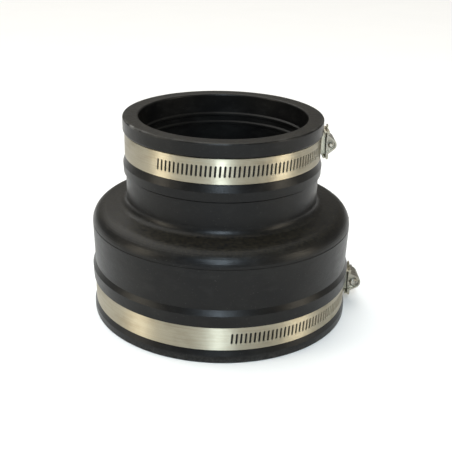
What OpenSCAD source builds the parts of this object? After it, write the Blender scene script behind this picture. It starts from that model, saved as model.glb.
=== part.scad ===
// Rubber reducing pipe coupling with two worm-drive hose clamps.
// Millimetres, +Z up. Origin on the pipe axis, in the plane of the wide mouth's rim.
// A stepped rubber sleeve takes a wide pipe from below and a narrow pipe from above. A steel band
// sits in a groove round each mouth, and a screw in a housing on the band draws it tight.

/* [Sleeve] */
// Height from the wide rim to the narrow rim
sleeve_h = 136; // [130:0.5:145]
// Radius of the narrow socket
small_bore_r = 55.9; // [55.6:0.1:57]
// Radius of the wide socket
large_bore_r = 81; // [80.6:0.1:81.5]
// Radius at the crests of the narrow socket's sealing ribs
small_seal_r = 55; // [53.5:0.1:55.5]
// Radius at the crests of the wide socket's sealing ribs
large_seal_r = 80; // [78:0.1:80.5]
// Radius of the opening between the two sockets
throat_r = 52.5; // [48:0.5:53]
// Height of the ledge that stops the narrow pipe
small_stop_z = 72; // [70:0.5:74]
// Height of the ledge that stops the wide pipe
large_stop_z = 65.5; // [62:0.5:67]
// Radius of the rounded corner where the wide socket meets its ledge
large_stop_round = 4; // [2:0.5:6]

/* [Narrow end] */
// Outer radius of the narrow lip
small_lip_r = 66.4; // [66.2:0.1:66.6]
// Radius of the floor of the narrow band groove
small_seat_r = 64.4; // [64:0.1:64.6]
// Lower edge of the narrow band groove
small_seat_z0 = 109.75; // [109:0.05:109.8]
// Upper edge of the narrow band groove
small_seat_z1 = 126.4; // [126.3:0.1:127]
// Outer radius of the bead under the narrow band
small_bead_r = 66.5; // [66:0.1:66.6]
// Height of the bead's widest line
small_bead_z = 105; // [103:0.1:107]
// Underside of the bead
small_bead_z0 = 99.2; // [96:0.1:101]
// Outer radius of the straight neck
neck_r = 64.65; // [63:0.05:64.8]
// Radius of the fillet at the foot of the neck
neck_fillet = 5.5; // [3:0.5:8]

/* [Wide end] */
// Slope of the shoulder in degrees
shoulder_slope = 7.4; // [4:0.1:12]
// Radius of the shoulder's outer rounding
shoulder_round = 10.7; // [8:0.1:12]
// Outer radius of the body at the mould parting line
body_r = 88; // [87.6:0.1:88.4]
// Height of the mould parting line
parting_z = 64.2; // [62:0.1:66]
// Outer radius at the foot of the body wall
body_low_r = 87.2; // [86.6:0.1:87.5]
// Height where the lower bead starts
large_bead_z1 = 36.9; // [35:0.1:39]
// Height of the lower bead's widest line
large_bead_z = 33.4; // [31:0.1:34]
// Outer radius of the lower bead
large_bead_r = 88.95; // [88:0.05:89]
// Upper edge of the wide band groove
large_seat_z1 = 25.3; // [25.2:0.1:26]
// Lower edge of the wide band groove
large_seat_z0 = 8.65; // [8.4:0.05:8.7]
// Radius of the floor of the wide band groove
large_seat_r = 86.65; // [86.2:0.05:86.8]
// Outer radius of the wide lip
large_lip_r = 88.5; // [88:0.1:88.9]
// Height of the chamfer edge on the wide lip
large_lip_z = 5.2; // [4:0.1:6]

/* [Clamps] */
// Width of the clamp bands
band_w = 15.8; // [15:0.1:16]
// Thickness of the clamp bands
band_t = 0.8; // [0.6:0.05:0.9]
// Distance between neighbouring slots along a band
slot_pitch = 2.92; // [2.8:0.02:3.1]
// Length of a slot
slot_l = 7.4; // [6:0.1:8]
// Width of a slot
slot_w = 1.4; // [0.9:0.05:1.4]
// Lean of the slots in degrees, to match the screw's lead
slot_lean = 4; // [0:0.5:7]
// Thread radius of the narrow clamp's screw
small_worm_r = 2.6; // [2.4:0.1:2.7]
// Thread radius of the wide clamp's screw
large_worm_r = 3.6; // [3.4:0.1:3.8]
// Width across the flats of the narrow clamp's screw head
small_hex = 5.5; // [5:0.5:5.5]
// Width across the flats of the wide clamp's screw head
large_hex = 7; // [6:0.5:7]
// Direction of the narrow clamp's screw housing in degrees
small_head_deg = 2; // [-20:0.1:20]
// Direction of the wide clamp's screw housing in degrees
large_head_deg = 2; // [-20:0.1:20]

/* [Hidden] */
$fn = 96;
rubber = [0.09, 0.09, 0.09];
steel = [0.78, 0.76, 0.70];
dark_steel = [0.62, 0.60, 0.54];

// Sleeve details
lip_round = 1;
lip_foot_round = 1.4;
mouth_round = 1.2;
seal_land = 1.2;
seal_foot = 3.2;
seal_gap = 6.1;
groove_step = 0.6;
bead_groove_h = 1.2;
bead_groove_d = 0.6;
bead_draft = 0.3;
parting_d = 0.3;
parting_h = 0.6;
small_band_z = (small_seat_z0 + small_seat_z1) / 2;
large_band_z = (large_seat_z0 + large_seat_z1) / 2;

// Shoulder geometry: rounding, straight slope, then the fillet up to the neck
shoulder_c = [body_r - shoulder_round, parting_z];
shoulder_edge = shoulder_c + shoulder_round * [sin(shoulder_slope), cos(shoulder_slope)];
fillet_c_r = neck_r + neck_fillet;
fillet_foot_r = fillet_c_r - neck_fillet * sin(shoulder_slope);
fillet_foot_z = shoulder_edge[1] + (shoulder_edge[0] - fillet_foot_r) * tan(shoulder_slope);
fillet_c_z = fillet_foot_z + neck_fillet * cos(shoulder_slope);

// Clamp details. Heights are radial, above the band's outer face
seat_play = 0.06;
slot_cut = 6;
saddle_lift = 1.3;
wing_t = 0.6;
wing_root = 0.5;
tab_gap = 0.2;
saddle_top = 2.3;
tail_gap = 0.06;
tail_t = 0.7;
foot_gap = 0.06;
worm_gap = 0.3;
foot_t = 0.8;
foot_w = 8.2;
flank_w = 6.8;
flank_in_w = 5.8;
shell_play = 0.3;
wall_t = 1;
housing_l = 16;
arch_h = 20;
bulkhead_in = 1.2;
bulkhead_t = 1;
journal_play = 0.06;
journal_cut = 0.9;
thread_depth = 0.85;
thread_w = 1;
flange_w0 = 8.3;
flange_w1 = 9.1;
saddle_y0 = -2;
saddle_y1 = 8.5;
wing_y1 = 6.5;
curl_r = 0.8;
ear_w = 11.3;
ear_y0 = 0;
ear_l = 4;
end_play = 0.3;
collar_rise = 0.2;
collar_l = 1.2;
head_l = 4.6;
driver_w = 1.2;
driver_d = 1.8;
tip_l = 0.7;
tail_deg0 = -1.5;
tail_l = 33;
small_first_deg = -126.6;
large_first_deg = -84.3;
slots_end_deg = -3;

small_ring_r = small_seat_r + seat_play;
large_ring_r = large_seat_r + seat_play;

// Removes the corner outside a quarter circle; quarter 0 faces +x +z, 1 faces -x +z, and so on
module round_cut(x, z, r, quarter) {
    translate([x, z]) rotate(90 * quarter) difference() {
        translate([-r, -r]) square(r + 1);
        translate([-r, -r]) circle(r = r);
    }
}

// Half section of the sleeve's outside, filled in to the throat
module sleeve_outside() {
    difference() {
        polygon([
            [throat_r, 0], [large_lip_r, 0], [large_lip_r, large_lip_z],
            [large_seat_r + groove_step, large_seat_z0], [large_seat_r, large_seat_z0],
            [large_seat_r, large_seat_z1], [large_bead_r - bead_draft, large_seat_z1],
            [large_bead_r, large_bead_z], [body_low_r, large_bead_z1],
            [body_r, parting_z], shoulder_edge, [fillet_foot_r, fillet_foot_z],
            [fillet_c_r, fillet_c_z], [neck_r, fillet_c_z],
            [neck_r, small_bead_z0 - bead_groove_h],
            [neck_r - bead_groove_d, small_bead_z0 - bead_groove_h],
            [neck_r - bead_groove_d, small_bead_z0], [small_bead_r - bead_draft, small_bead_z0],
            [small_bead_r, small_bead_z], [small_seat_r + groove_step, small_seat_z0],
            [small_seat_r, small_seat_z0], [small_seat_r, small_seat_z1],
            [small_lip_r, small_seat_z1], [small_lip_r, sleeve_h], [throat_r, sleeve_h]
        ]);
        translate([fillet_c_r, fillet_c_z]) circle(r = neck_fillet);
    }
    translate(shoulder_c) circle(r = shoulder_round);
}

// Section of a rib that stands inward from a socket's wall
module seal_rib(wall_r, crest_r, z) {
    polygon([
        [wall_r + 1, z - seal_foot / 2], [wall_r, z - seal_foot / 2], [crest_r, z - seal_land / 2],
        [crest_r, z + seal_land / 2], [wall_r, z + seal_foot / 2], [wall_r + 1, z + seal_foot / 2]
    ]);
}

// Half section of the two sockets, with the ribs left standing
module sleeve_inside() {
    difference() {
        translate([0, small_stop_z]) square([small_bore_r, sleeve_h]);
        for (side = [-0.5, 0.5]) seal_rib(small_bore_r, small_seal_r, small_band_z + side * seal_gap);
    }
    difference() {
        translate([0, -1]) square([large_bore_r, large_stop_z + 1]);
        round_cut(large_bore_r, large_stop_z, large_stop_round, 0);
        for (side = [-0.5, 0.5]) seal_rib(large_bore_r, large_seal_r, large_band_z + side * seal_gap);
    }
}

module sleeve() {
    color(rubber) rotate_extrude() difference() {
        sleeve_outside();
        sleeve_inside();
        round_cut(small_lip_r, sleeve_h, lip_round, 0);
        round_cut(small_lip_r, small_seat_z1, lip_foot_round, 3);
        round_cut(small_bore_r, sleeve_h, mouth_round, 1);
        round_cut(large_lip_r, 0, lip_round, 3);
        round_cut(large_bore_r, 0, mouth_round, 2);
        translate([body_r - parting_d, parting_z]) square([1, parting_h]);
    }
}

// Row of leaning slots from one direction to another, cut straight through a band
module slots(ring_r, from_deg, to_deg) {
    step_deg = slot_pitch / (ring_r + band_t) * 180 / PI;
    half = (slot_l - slot_w) / 2;
    for (i = [0 : floor((to_deg - from_deg) / step_deg)])
        rotate(from_deg + i * step_deg) translate([ring_r - 1, 0, 0]) rotate([-slot_lean, 0, 0])
            rotate([90, 0, 90]) linear_extrude(slot_cut) {
                translate([-slot_w / 2, -half]) square([slot_w, 2 * half]);
                for (end = [-1, 1]) translate([0, end * half]) circle(r = slot_w / 2);
            }
}

module band(ring_r, z, first_deg, head_deg) {
    color(steel) translate([0, 0, z]) difference() {
        rotate_extrude() translate([ring_r, -band_w / 2]) square([band_t, band_w]);
        slots(ring_r, first_deg, head_deg + slots_end_deg);
    }
}

// Free end of the band: it runs through the housing under the screw and lies over the ring
module band_tail(ring_r, z, head_deg) {
    out_r = ring_r + band_t;
    in_r = out_r + saddle_top + tail_gap;
    span = tail_l / in_r * 180 / PI;
    step_deg = slot_pitch / out_r * 180 / PI;
    end_deg = head_deg + tail_deg0 + span;
    color(steel) translate([0, 0, z]) difference() {
        rotate(head_deg + tail_deg0) rotate_extrude(angle = span)
            translate([in_r, -band_w / 2]) square([tail_t, band_w]);
        slots(out_r, head_deg + tail_deg0 + step_deg, end_deg - 1.5 * step_deg);
    }
}

// Places a clamp's parts: x is radial, y runs along the screw, z across the band
module at_head(z, head_deg) {
    translate([0, 0, z]) rotate(head_deg) children();
}

// Extrudes a section drawn as [radial, across the band] along the screw
module along_screw(y0, y1) {
    translate([0, y1, 0]) rotate([90, 0, 0]) linear_extrude(y1 - y0) children();
}

// Section of an arch of the given radius that flares out to two feet
module arch(axis_x, r, foot_x, flare_w) {
    reach = norm([foot_x - axis_x, flare_w]);
    touch = atan2(flare_w, foot_x - axis_x) - acos(r / reach);
    translate([axis_x, 0]) circle(r = r);
    polygon([
        [foot_x, -flare_w], [axis_x + r * cos(touch), -r * sin(touch)],
        [axis_x + r * cos(touch), r * sin(touch)], [foot_x, flare_w]
    ]);
}

module housing(ring_r, z, head_deg, worm_r) {
    foot_x = ring_r + band_t + saddle_top + tail_gap + tail_t + foot_gap;
    axis_x = foot_x + worm_gap + worm_r;
    bore_r = worm_r + shell_play;
    half = housing_l / 2;
    hollow_y = [[-half - 1, -half + bulkhead_in], [-half + bulkhead_in + bulkhead_t, half - bulkhead_t]];
    color(dark_steel) at_head(z, head_deg) difference() {
        union() {
            along_screw(-half, half) intersection() {
                arch(axis_x, bore_r + wall_t, foot_x + foot_t, flank_w);
                translate([foot_x, -foot_w]) square([arch_h, 2 * foot_w]);
            }
            translate([foot_x, -half, -foot_w]) cube([foot_t, housing_l, 2 * foot_w]);
        }
        for (span = hollow_y) along_screw(span[0], span[1])
            arch(axis_x, bore_r, foot_x - 1, flank_in_w);
        along_screw(-half - 1, half + 1) translate([axis_x, 0])
            circle(r = worm_r - journal_cut + journal_play);
    }
}

// Strip pressed between band and housing, with sides that wrap over the housing's feet
module saddle(ring_r, z, head_deg) {
    base_r = ring_r + band_t;
    tab_x = base_r + saddle_top + tail_gap + tail_t + foot_gap + foot_t;
    half = housing_l / 2;
    plate_deg = [asin(saddle_y0 / base_r), asin(saddle_y1 / base_r)];
    color(steel) at_head(z, head_deg) {
        rotate(plate_deg[0]) rotate_extrude(angle = plate_deg[1] - plate_deg[0])
            translate([base_r, -band_w / 2]) square([saddle_top, band_w]);
        for (side = [0, 1]) mirror([0, 0, side]) {
            translate([base_r + saddle_lift, saddle_y0, band_w / 2 - wing_root])
                cube([wing_t, wing_y1 - saddle_y0, flange_w1 - band_w / 2 + wing_root]);
            translate([base_r + saddle_lift, -half, flange_w0])
                cube([tab_x + foot_t - base_r - saddle_lift, half + wing_y1, flange_w1 - flange_w0]);
            translate([tab_x, -half, flank_w + tab_gap])
                cube([foot_t, half + wing_y1, flange_w1 - flank_w - tab_gap]);
            translate([tab_x, -half, flange_w1]) rotate([-90, 0, 0])
                cylinder(r = curl_r, h = half / 2);
            translate([tab_x, ear_y0, flange_w0]) cube([foot_t, ear_l, ear_w - flange_w0]);
        }
    }
}

module screw(ring_r, z, head_deg, worm_r, hex) {
    axis_x = ring_r + band_t + saddle_top + tail_gap + tail_t + foot_gap + worm_gap + worm_r;
    half = housing_l / 2;
    journal_r = worm_r - journal_cut;
    y0 = -half + bulkhead_in + bulkhead_t + end_play;
    y1 = half - bulkhead_t - end_play;
    count = floor((y1 - y0 - thread_w) / slot_pitch);
    collar_y = half + end_play;
    head_y = collar_y + collar_l;
    color(dark_steel) at_head(z, head_deg) translate([axis_x, 0, 0]) rotate([-90, 0, 0]) {
        translate([0, 0, -half]) cylinder(r = journal_r, h = housing_l + collar_l);
        translate([0, 0, -half - tip_l]) cylinder(r1 = journal_r - tip_l, r2 = journal_r, h = tip_l);
        for (i = [0 : count]) translate([0, 0, y0 + i * slot_pitch]) {
            cylinder(r1 = worm_r - thread_depth, r2 = worm_r, h = thread_w / 2);
            translate([0, 0, thread_w / 2]) cylinder(r = worm_r, h = thread_w / 2);
            translate([0, 0, thread_w]) cylinder(r1 = worm_r, r2 = worm_r - thread_depth, h = thread_w / 2);
        }
        translate([0, 0, collar_y]) cylinder(r = worm_r + collar_rise, h = collar_l);
        difference() {
            translate([0, 0, head_y]) cylinder(d = hex / cos(30), h = head_l, $fn = 6);
            translate([-hex, -driver_w / 2, head_y + head_l - driver_d])
                cube([2 * hex, driver_w, driver_d + 1]);
        }
    }
}

module small_band() {
    band(small_ring_r, small_band_z, small_first_deg, small_head_deg);
}

module small_saddle() {
    saddle(small_ring_r, small_band_z, small_head_deg);
}

module small_housing() {
    housing(small_ring_r, small_band_z, small_head_deg, small_worm_r);
}

module small_screw() {
    screw(small_ring_r, small_band_z, small_head_deg, small_worm_r, small_hex);
}

module small_band_tail() {
    band_tail(small_ring_r, small_band_z, small_head_deg);
}

module large_band() {
    band(large_ring_r, large_band_z, large_first_deg, large_head_deg);
}

module large_saddle() {
    saddle(large_ring_r, large_band_z, large_head_deg);
}

module large_housing() {
    housing(large_ring_r, large_band_z, large_head_deg, large_worm_r);
}

module large_screw() {
    screw(large_ring_r, large_band_z, large_head_deg, large_worm_r, large_hex);
}

module large_band_tail() {
    band_tail(large_ring_r, large_band_z, large_head_deg);
}

sleeve();
small_band();
small_saddle();
small_housing();
small_screw();
small_band_tail();
large_band();
large_saddle();
large_housing();
large_screw();
large_band_tail();
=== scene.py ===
"""Looks of the pipe coupling: moulded rubber sleeve, two slotted steel bands and their screw housings."""

import math

import bmesh
import bpy
from mathutils import Matrix, Vector, noise


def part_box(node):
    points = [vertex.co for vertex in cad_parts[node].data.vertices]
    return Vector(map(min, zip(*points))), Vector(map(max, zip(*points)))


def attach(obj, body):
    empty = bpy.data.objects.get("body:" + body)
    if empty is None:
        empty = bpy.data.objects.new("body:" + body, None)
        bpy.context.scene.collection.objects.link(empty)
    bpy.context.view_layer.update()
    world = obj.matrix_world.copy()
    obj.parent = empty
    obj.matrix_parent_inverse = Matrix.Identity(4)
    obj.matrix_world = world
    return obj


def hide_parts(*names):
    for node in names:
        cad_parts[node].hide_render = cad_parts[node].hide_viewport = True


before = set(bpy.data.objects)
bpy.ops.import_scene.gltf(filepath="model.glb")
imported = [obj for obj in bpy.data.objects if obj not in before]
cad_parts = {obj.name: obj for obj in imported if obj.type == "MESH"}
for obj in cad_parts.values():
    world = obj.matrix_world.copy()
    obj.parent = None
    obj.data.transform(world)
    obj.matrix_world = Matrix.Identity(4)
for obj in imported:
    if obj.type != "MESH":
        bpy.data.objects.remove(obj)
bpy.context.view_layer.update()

MM = 0.001

# Sleeve mesh
STEPS_ROUND = 360
LONGEST_STEP = 2.5 * MM
MERIDIAN_TOLERANCE = 0.02 * MM
UNEVEN_DEPTH = 0.16 * MM
UNEVEN_SIZE = 28 * MM
CORNER_HOLD = 0.12 * MM
SMOOTH_BELOW = 28

# Stubs on the sleeve's parting line
NIB_RADIUS = 87.9 * MM
PARTING_HEIGHT = 64.3 * MM

# Softened edges of the clamps' pieces
SOFT_EDGE = 0.16 * MM

# Where the narrow rim is scuffed, in millimetres
SCUFF = (-55, -36)

# Camera
CAMERA_PLACE = Vector((3.385, -521.7, 276.1)) * MM
CAMERA_PITCH = 67.13
CAMERA_ROLL = 1.31
LENS = 64.68

# Studio
WORLD_LIGHT = 0.20
BACKDROP = 1.0
CEILING_SPREAD = 75
FLOOR_SIZE = 6.0


class Look:
    """A material being built, with positions in millimetres in the row frame."""

    def __init__(self, name):
        self.material = bpy.data.materials.new(name)
        self.material.use_nodes = True
        self.tree = self.material.node_tree
        self.shader = self.tree.nodes["Principled BSDF"]
        metres = self.tree.nodes.new("ShaderNodeTexCoord").outputs["Object"]
        self.place = self.vector("MULTIPLY", metres, (1000, 1000, 1000))
        split = self.add("SeparateXYZ", {0: self.place})
        self.x, self.y, self.z = split.outputs

    def add(self, kind, inputs, **settings):
        """A new shader node with its inputs linked or set."""
        made = self.tree.nodes.new("ShaderNode" + kind)
        for key, value in settings.items():
            setattr(made, key, value)
        for key, value in inputs.items():
            self.set(made.inputs[key], value)
        return made

    def set(self, socket, value):
        """Links an output to a socket, or gives the socket a fixed value."""
        if isinstance(value, bpy.types.NodeSocket):
            self.tree.links.new(value, socket)
        else:
            socket.default_value = value

    def finish(self, **values):
        """The finished material, with these inputs on its shader."""
        for key, value in values.items():
            self.set(self.shader.inputs[key.replace("_", " ")], value)
        return self.material

    def vector(self, operation, a, b):
        return self.add("VectorMath", {0: a, 1: b}, operation=operation).outputs[0]

    def math(self, operation, a, b=0.0):
        return self.add("Math", {0: a, 1: b}, operation=operation).outputs[0]

    def noise(self, size, stretch=(1, 1, 1), detail=4.0, roughness=0.55):
        """Noise from 0 to 1 whose blotches are about size millimetres, drawn out where stretch is above 1."""
        scale = tuple(1 / (size * s) for s in stretch)
        spread = self.vector("MULTIPLY", self.place, scale)
        inputs = {"Vector": spread, "Scale": 1.0, "Detail": detail, "Roughness": roughness}
        return self.add("TexNoise", inputs).outputs[0]

    def remap(self, value, low, high, to_low=0.0, to_high=1.0):
        """Value moved from one range to another, and held inside it."""
        inputs = {0: value, 1: low, 2: high, 3: to_low, 4: to_high}
        return self.add("MapRange", inputs, clamp=True).outputs[0]

    def near(self, value, centre, reach):
        """1 where value is at centre, down to 0 at reach away from it."""
        away = self.math("ABSOLUTE", self.math("SUBTRACT", value, centre))
        return self.remap(away, 0.0, reach, 1.0, 0.0)

    def mix(self, share, a, b):
        """Colour a, turning into b as share goes from 0 to 1."""
        made = self.add("Mix", {0: share}, data_type="RGBA")
        self.set(made.inputs[6], colour(a))
        self.set(made.inputs[7], colour(b))
        return made.outputs[2]

    def bump(self, height, depth, below=None):
        """Normal of a surface whose noise height, from 0 to 1, is depth millimetres."""
        inputs = {"Height": height, "Distance": depth * MM, "Strength": 1.0}
        if below is not None:
            inputs["Normal"] = below
        return self.add("Bump", inputs).outputs[0]

    def radius(self):
        """Distance from the pipe axis."""
        across = self.math("MULTIPLY", self.x, self.x)
        along = self.math("MULTIPLY", self.y, self.y)
        return self.math("SQRT", self.math("ADD", across, along))


def colour(value):
    """A plain colour gets its alpha; a socket stays as it is."""
    return (*value, 1.0) if isinstance(value, tuple) and len(value) == 3 else value


def rubber():
    """Matte black moulded rubber with a fine grain, flow marks, painted top light on its upward faces, a
    painted floor reflection at its foot and rubbed edges.
    """
    look = Look("sleeve_rubber")
    low, high = (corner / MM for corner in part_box("sleeve"))
    blotch = look.noise(34, detail=3)
    flow = look.noise(9, stretch=(1.6, 1.6, 0.7), detail=6, roughness=0.65)
    grain = look.noise(0.55, detail=2)
    pores = look.noise(1.9, detail=5, roughness=0.7)
    base = look.mix(look.remap(blotch, 0.35, 0.65), (0.0030, 0.0029, 0.0030), (0.0056, 0.0053, 0.0048))
    base = look.mix(look.remap(flow, 0.52, 0.72, 0.0, 0.55), base, (0.0125, 0.012, 0.011))

    normal = look.add("NewGeometry", {}).outputs["Normal"]
    upward = look.add("SeparateXYZ", {0: normal}).outputs[2]
    # Painted top light: upward faces turn a lighter warm brown, broken up by the pores, and are made a little
    # rougher.
    painted_top_light = look.math("MULTIPLY", look.remap(upward, 0.55, 1.0), look.remap(pores, 0.38, 0.62))
    base = look.mix(look.math("MULTIPLY", painted_top_light, 0.5), base, (0.034, 0.029, 0.019))

    specks = look.remap(look.noise(0.9, detail=1), 0.70, 0.76)
    base = look.mix(look.math("MULTIPLY", specks, 0.35), base, (0.06, 0.057, 0.05))

    rim = look.math("MULTIPLY", look.near(look.z, high.z, 1.6), look.near(look.radius(), 65.6, 2.2))
    patch = look.math("MULTIPLY", look.near(look.x, SCUFF[0], 13), look.near(look.y, SCUFF[1], 13))
    reach = look.math("ADD", look.math("MULTIPLY", patch, 1.4), 0.12)
    rubbed = look.math("MULTIPLY", rim, look.remap(look.noise(5, stretch=(2, 2, 1)), 0.46, 0.58))
    base = look.mix(look.math("MULTIPLY", rubbed, reach), base, (0.17, 0.165, 0.155))

    # Painted floor reflection: the lowest 6 mm of the sleeve turn lighter, broken up by the pores.
    painted_floor_reflection = look.math("MULTIPLY", look.near(look.z, low.z, 6.0), look.remap(pores, 0.42, 0.7))
    base = look.mix(look.math("MULTIPLY", painted_floor_reflection, 0.8), base, (0.055, 0.053, 0.049))

    shine = look.remap(flow, 0.3, 0.7, 0.29, 0.40)
    shine = look.math("ADD", shine, look.math("MULTIPLY", painted_top_light, 0.16))
    shape = look.bump(look.noise(14, stretch=(1.5, 1.5, 0.8), detail=3), 0.22)
    shape = look.bump(pores, 0.05, shape)
    shape = look.bump(grain, 0.022, shape)
    return look.finish(Base_Color=base, Roughness=shine, Normal=shape, Specular_IOR_Level=0.18)


def band_steel():
    """Satin stainless strip: rolled lines run along the strip, with stains and fine wear."""
    look = Look("band_steel")
    lines = look.noise(0.16, stretch=(220, 220, 1), detail=4, roughness=0.7)
    broad = look.noise(1.5, stretch=(30, 30, 1), detail=3)
    stain = look.noise(16, stretch=(1.2, 1.2, 0.6), detail=5)
    base = look.mix(look.remap(lines, 0.3, 0.7), (0.345, 0.312, 0.232), (0.485, 0.446, 0.348))
    base = look.mix(look.remap(stain, 0.50, 0.75, 0.0, 0.35), base, (0.25, 0.205, 0.13))
    marks = look.remap(look.noise(0.5, stretch=(9, 9, 0.6), detail=2), 0.69, 0.74)
    base = look.mix(look.math("MULTIPLY", marks, 0.4), base, (0.26, 0.25, 0.22))
    dulled = look.remap(stain, 0.5, 0.8, 0.0, 0.12)
    shine = look.math("ADD", look.remap(broad, 0.3, 0.7, 0.40, 0.48), dulled)
    shape = look.bump(lines, 0.009)
    shape = look.bump(look.noise(11, stretch=(1, 1, 1.4), detail=2), 0.10, shape)
    look.finish(Anisotropic=0.93, Anisotropic_Rotation=0.25)
    return look.finish(Base_Color=base, Metallic=1.0, Roughness=shine, Normal=shape)


def housing_steel():
    """Pressed stainless, duller than the strip, drawn lines along the screw and blotches of grime."""
    look = Look("housing_steel")
    lines = look.noise(0.2, stretch=(1, 40, 1), detail=4, roughness=0.7)
    grime = look.noise(3.2, detail=5, roughness=0.65)
    base = look.mix(look.remap(lines, 0.3, 0.7), (0.24, 0.225, 0.185), (0.40, 0.38, 0.32))
    base = look.mix(look.remap(grime, 0.52, 0.70, 0.0, 0.75), base, (0.085, 0.073, 0.055))
    shine = look.remap(grime, 0.3, 0.7, 0.32, 0.55)
    shape = look.bump(grime, 0.05)
    shape = look.bump(lines, 0.012, shape)
    return look.finish(Base_Color=base, Metallic=1.0, Roughness=shine, Normal=shape)


def screw_steel():
    """Plated steel with turning marks round the screw and dark blotches of grease."""
    look = Look("screw_steel")
    turned = look.noise(0.12, stretch=(40, 1, 40), detail=3, roughness=0.7)
    grease = look.noise(2.2, detail=5, roughness=0.6)
    base = look.mix(look.remap(turned, 0.3, 0.7), (0.26, 0.25, 0.215), (0.46, 0.44, 0.385))
    base = look.mix(look.remap(grease, 0.50, 0.66, 0.0, 0.8), base, (0.10, 0.088, 0.065))
    shine = look.remap(grease, 0.3, 0.7, 0.27, 0.5)
    shape = look.bump(grease, 0.04)
    shape = look.bump(turned, 0.012, shape)
    return look.finish(Base_Color=base, Metallic=1.0, Roughness=shine, Normal=shape)


def floor_paint():
    """Plain pale floor with a faint mottle."""
    look = Look("floor_paint")
    base = look.mix(look.noise(120, detail=3), (0.86, 0.86, 0.855), (0.89, 0.89, 0.885))
    shape = look.bump(look.noise(2.0, detail=3), 0.02)
    return look.finish(Base_Color=base, Roughness=0.75, Normal=shape)


def sleeve_section():
    """The sleeve's closed half section, (radius, height) in order, read from the CAD mesh's own seam."""
    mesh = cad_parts["sleeve"].data
    seam = {}
    for edge in mesh.edges:
        ends = [mesh.vertices[i].co for i in edge.vertices]
        if all(abs(p.y) < MERIDIAN_TOLERANCE and p.x > 0 for p in ends):
            keys = [(round(p.x / MM, 3), round(p.z / MM, 3)) for p in ends]
            if keys[0] != keys[1]:
                seam.setdefault(keys[0], set()).add(keys[1])
                seam.setdefault(keys[1], set()).add(keys[0])
    start = max(seam, key=lambda p: (p[1], p[0]))
    walk, previous = [start], None
    while True:
        following = [p for p in sorted(seam[walk[-1]], reverse=True) if p != previous]
        previous = walk[-1]
        if following[0] == start or len(walk) > len(seam):
            return [Vector(p) * MM for p in walk]
        walk.append(following[0])


def divided(section):
    """The same closed section with its long lines split, and its corners held by a close pair of points."""
    points = []
    for a, b in zip(section, section[1:] + section[:1]):
        length = (b - a).length
        count = max(1, math.ceil(length / LONGEST_STEP))
        cuts = {i / count for i in range(count)}
        if length > 0.5 * MM:
            hold = min(CORNER_HOLD / length, 0.25)
            cuts |= {hold, 1 - hold}
        points += [a.lerp(b, cut) for cut in sorted(cuts)]
    return points


def lathe(name, section):
    """A closed ring of quads from a half section."""
    mesh = bpy.data.meshes.new(name)
    vertices = []
    for step in range(STEPS_ROUND):
        turn = 2 * math.pi * step / STEPS_ROUND
        vertices += [(p.x * math.cos(turn), p.x * math.sin(turn), p.y) for p in section]
    count = len(section)
    faces = []
    for step in range(STEPS_ROUND):
        here, after = step * count, (step + 1) % STEPS_ROUND * count
        for i in range(count):
            j = (i + 1) % count
            faces.append((here + i, here + j, after + j, after + i))
    mesh.from_pydata(vertices, [], faces)
    made = bpy.data.objects.new(name, mesh)
    bpy.context.scene.collection.objects.link(made)
    return made


def face_outward(mesh):
    """Turns every face's front to the outside."""
    shape = bmesh.new()
    shape.from_mesh(mesh)
    bmesh.ops.recalc_face_normals(shape, faces=shape.faces)
    shape.to_mesh(mesh)
    shape.free()


def uneven(mesh):
    """Shrinks the moulding by a slow, shallow waviness, so that its walls aren't perfectly true."""
    for vertex in mesh.vertices:
        out = Vector((vertex.co.x, vertex.co.y, 0)).normalized()
        wave = 0.5 + 0.5 * noise.noise(vertex.co / UNEVEN_SIZE)
        vertex.co -= out * (wave * UNEVEN_DEPTH)


def smooth(mesh, sharp_deg):
    """Smooth shading, except over edges sharper than this."""
    mesh.shade_smooth()
    mesh.set_sharp_from_angle(angle=math.radians(sharp_deg))


def sleeve_skin():
    """The moulding that is shown in place of the CAD sleeve."""
    made = lathe("sleeve_moulding", divided(sleeve_section()))
    face_outward(made.data)
    uneven(made.data)
    smooth(made.data, SMOOTH_BELOW)
    made.data.materials.append(rubber())
    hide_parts("sleeve")
    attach(made, "sleeve")


def parting_nib(name, azimuth, radius, height):
    """A stub of rubber left where the mould was filled or vented."""
    bpy.ops.mesh.primitive_uv_sphere_add(segments=20, ring_count=12, radius=1.0)
    made = bpy.context.object
    made.name = name
    turn = math.radians(azimuth)
    place = Matrix.Translation((radius * math.cos(turn), radius * math.sin(turn), height))
    size = Matrix.Diagonal((0.7 * MM, 1.1 * MM, 0.6 * MM, 1.0))
    made.data.transform(place @ Matrix.Rotation(turn, 4, "Z") @ size)
    smooth(made.data, 60)
    made.data.materials.append(bpy.data.materials["sleeve_rubber"])
    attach(made, "sleeve")


def finish_steel():
    """Materials and softened edges for the clamps' CAD pieces."""
    looks = {"band": band_steel(), "housing": housing_steel(), "screw": screw_steel()}
    kinds = {"saddle": "band", "band_tail": "band"}
    for name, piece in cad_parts.items():
        if name == "sleeve":
            continue
        part = name.split("_", 1)[1]
        kind = kinds.get(part, part)
        piece.data.materials.clear()
        piece.data.materials.append(looks[kind])
        for polygon in piece.data.polygons:
            polygon.material_index = 0
        if part in ("saddle", "housing", "screw"):
            soften(piece, SOFT_EDGE)


def soften(piece, width):
    """Rounds a piece's edges by a modifier."""
    bevel = piece.modifiers.new("soft_edges", "BEVEL")
    bevel.width = width
    bevel.segments = 2
    bevel.limit_method = "ANGLE"
    bevel.angle_limit = math.radians(40)
    bevel.harden_normals = False


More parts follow.
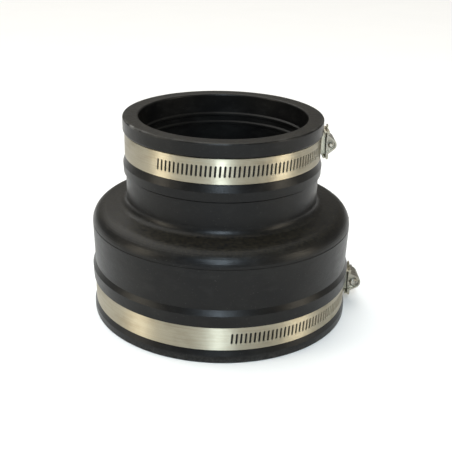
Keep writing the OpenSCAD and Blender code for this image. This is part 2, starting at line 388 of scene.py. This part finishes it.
def build_stage():
    """A pale floor under an even sky."""
    bpy.ops.mesh.primitive_plane_add(size=FLOOR_SIZE)
    floor = bpy.context.object
    floor.name = "floor"
    floor.data.materials.append(floor_paint())
    world = bpy.data.worlds.new("studio")
    bpy.context.scene.world = world
    world.use_nodes = True
    sky = world.node_tree.nodes["Background"]
    sky.inputs["Color"].default_value = (1.0, 0.975, 0.93, 1.0)
    rays = world.node_tree.nodes.new("ShaderNodeLightPath")
    share = world.node_tree.nodes.new("ShaderNodeMapRange")
    share.inputs["To Min"].default_value = WORLD_LIGHT
    share.inputs["To Max"].default_value = BACKDROP
    world.node_tree.links.new(rays.outputs["Is Camera Ray"], share.inputs["Value"])
    world.node_tree.links.new(share.outputs["Result"], sky.inputs["Strength"])
    bpy.context.scene.view_settings.view_transform = "Standard"


def soft_light(name, place, target, size, power, tint):
    """A softbox that faces the target."""
    data = bpy.data.lights.new(name, "AREA")
    data.shape = "RECTANGLE"
    data.size, data.size_y = size
    data.energy = power
    data.color = tint
    light = bpy.data.objects.new(name, data)
    bpy.context.scene.collection.objects.link(light)
    light.location = place
    light.rotation_euler = (Vector(target) - Vector(place)).to_track_quat("-Z", "Y").to_euler()


def overhead(direction, strength, tint):
    """A wide, even ceiling of light."""
    data = bpy.data.lights.new("overhead", "SUN")
    data.energy = strength
    data.angle = math.radians(CEILING_SPREAD)
    data.color = tint
    light = bpy.data.objects.new("overhead", data)
    bpy.context.scene.collection.objects.link(light)
    light.location = direction
    light.rotation_euler = direction.to_track_quat("Z", "Y").to_euler()


def light_studio():
    """An overhead ceiling, a cool strip in front and a warm fill on each side."""
    middle = (0, 0, 0.07)
    overhead(Vector((-0.3, 0.35, 1.0)), 2.9, (1.0, 0.985, 0.95))
    soft_light("front_strip", (0.0, -1.3, 0.85), middle, (0.10, 0.8), 19, (0.72, 0.87, 1.0))
    soft_light("left_fill", (-1.4, -0.5, 0.5), middle, (0.5, 0.9), 9, (1.0, 0.90, 0.72))
    soft_light("right_fill", (1.4, -0.5, 0.5), middle, (0.5, 0.9), 9, (1.0, 0.90, 0.72))


def place_camera():
    """The camera at the photograph's viewing angle."""
    data = bpy.data.cameras.new("camera")
    data.lens = LENS
    data.sensor_width = 36
    camera = bpy.data.objects.new("camera", data)
    bpy.context.scene.collection.objects.link(camera)
    pitch = Matrix.Rotation(math.radians(CAMERA_PITCH), 4, "X")
    roll = Matrix.Rotation(math.radians(CAMERA_ROLL), 4, "Z")
    camera.matrix_world = Matrix.Translation(CAMERA_PLACE) @ pitch @ roll
    bpy.context.scene.camera = camera


sleeve_skin()
parting_nib("left_nib", 180, NIB_RADIUS, PARTING_HEIGHT)
parting_nib("right_nib", 0, NIB_RADIUS, PARTING_HEIGHT)
finish_steel()
build_stage()
light_studio()
place_camera()
